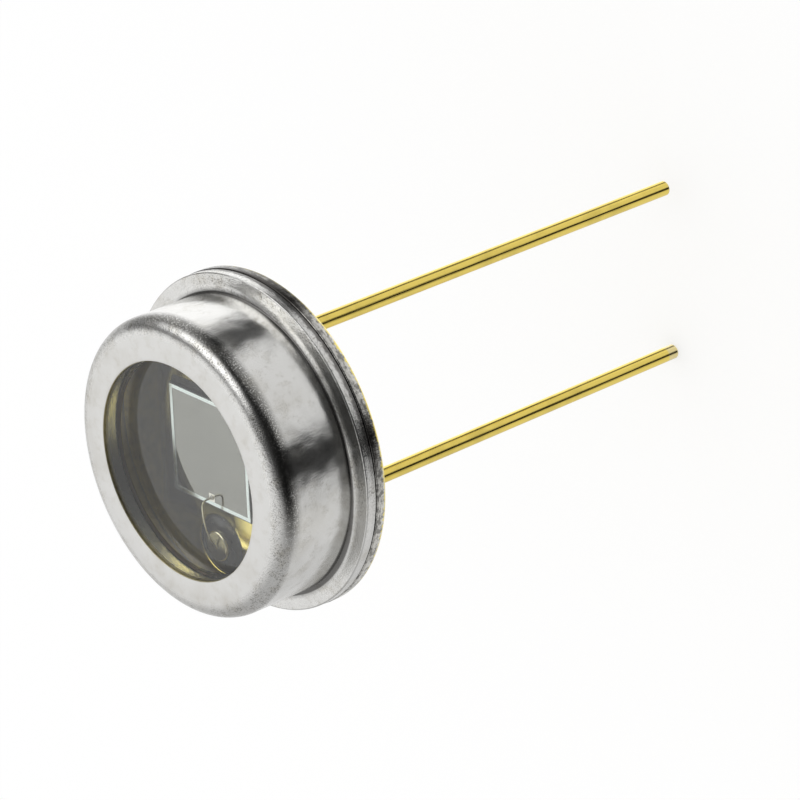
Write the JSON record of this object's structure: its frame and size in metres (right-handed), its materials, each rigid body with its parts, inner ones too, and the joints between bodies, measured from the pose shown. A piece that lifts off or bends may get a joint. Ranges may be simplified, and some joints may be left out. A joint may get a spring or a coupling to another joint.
{
  "type": "photodiode",
  "caption": "Metal-can photodiode: a drawn cap with a flat fused glass window over a square silicon die on a gold-plated header, with straight wire leads.",
  "frame": {"origin": "centre of the header's underside, on the seating plane and midway between the leads", "axes": "+Z out of the window, -Z along the leads, +X towards the isolated anode lead"},
  "size_m": [0.0092, 0.0092, 0.0181],
  "materials": {
    "gold_plating": "gold-plated, satin",
    "gold_lead": "gold-plated, drawn wire",
    "nickel_plating": "nickel-plated, satin",
    "window_glass": "clear, polished",
    "seal_glass": "dark opaque sealing glass, glossy",
    "silicon": "polished and coated",
    "contact_metal": "bright",
    "gold_wire": "bright",
    "die_bond": "silver-filled adhesive, matte"
  },
  "bodies": {
    "root": {"header": "gold_plating", "glass_seal": "seal_glass", "anode_lead": "gold_lead", "cathode_lead": "gold_lead", "die_attach": "die_bond", "die": "silicon", "front_contact": "contact_metal", "bond_wire": "gold_wire", "cap": "nickel_plating", "window_glass": "window_glass"}
  },
  "joints": []
}
